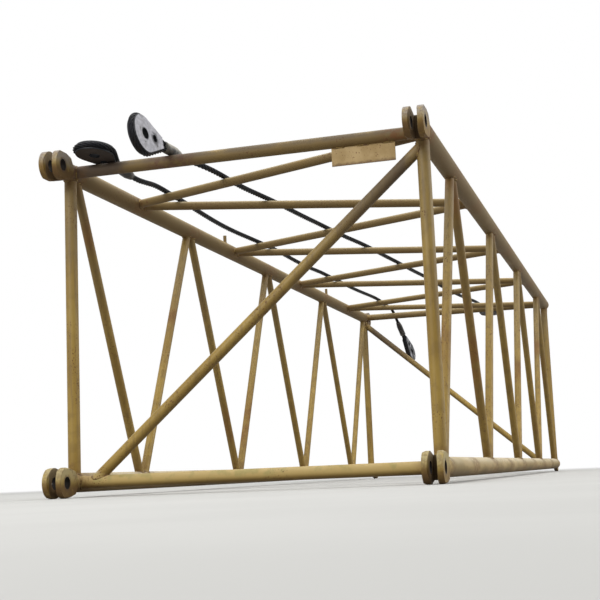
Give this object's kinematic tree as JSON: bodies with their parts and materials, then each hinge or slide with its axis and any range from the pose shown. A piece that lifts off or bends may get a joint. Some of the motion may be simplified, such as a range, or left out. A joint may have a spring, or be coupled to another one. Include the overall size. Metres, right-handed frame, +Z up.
{
  "type": "crawler crane boom section",
  "caption": "Straight lattice boom section of a crawler crane: welded round tubes, pin forks at one end, eyes at the other, with wire rope pendants lying on top.",
  "frame": {"origin": "middle of the section in length and width, on the ground under the lower lugs", "axes": "+X along the boom towards the eye end, +Y to the left seen from the fork end, +Z up"},
  "size_m": [6.4874, 1.669, 1.5812],
  "materials": {
    "boom_paint": "weathered ochre yellow gloss paint, faded and dirty",
    "lug_steel": "worn yellow paint over cast and machined steel, rusty at the bores",
    "wire_rope": "black greased wire rope",
    "fitting_steel": "dull grey galvanised steel",
    "plate_paint": "faded yellow painted plate, blank"
  },
  "bodies": {
    "root": {"chord_bottom_left": "boom_paint", "chord_bottom_right": "boom_paint", "chord_top_left": "boom_paint", "chord_top_right": "boom_paint", "eye_bottom_left": "lug_steel", "eye_bottom_right": "lug_steel", "eye_top_left": "lug_steel", "eye_top_right": "lug_steel", "fork_bottom_left": "lug_steel", "fork_bottom_right": "lug_steel", "fork_top_left": "lug_steel", "fork_top_right": "lug_steel", "front_brace": "boom_paint", "front_cross_tube_bottom": "boom_paint", "front_cross_tube_top": "boom_paint", "front_post_left": "boom_paint", "front_post_right": "boom_paint", "keeper_pegs": "boom_paint", "lacing_bottom": "boom_paint", "lacing_left": "boom_paint", "lacing_right": "boom_paint", "lacing_top": "boom_paint", "marking_plate": "plate_paint", "pendant_left_front_ferrule": "fitting_steel", "pendant_left_front_loop": "wire_rope", "pendant_left_front_thimble": "fitting_steel", "pendant_left_rear_ferrule": "fitting_steel", "pendant_left_rear_loop": "wire_rope", "pendant_left_rear_thimble": "fitting_steel", "pendant_left_rope": "wire_rope", "pendant_right_front_ferrule": "fitting_steel", "pendant_right_front_loop": "wire_rope", "pendant_right_front_thimble": "fitting_steel", "pendant_right_rear_ferrule": "fitting_steel", "pendant_right_rear_loop": "wire_rope", "pendant_right_rear_thimble": "fitting_steel", "pendant_right_rope": "wire_rope", "rear_brace": "boom_paint", "rear_cross_tube_bottom": "boom_paint", "rear_cross_tube_top": "boom_paint", "rear_post_left": "boom_paint", "rear_post_right": "boom_paint"}
  },
  "joints": []
}
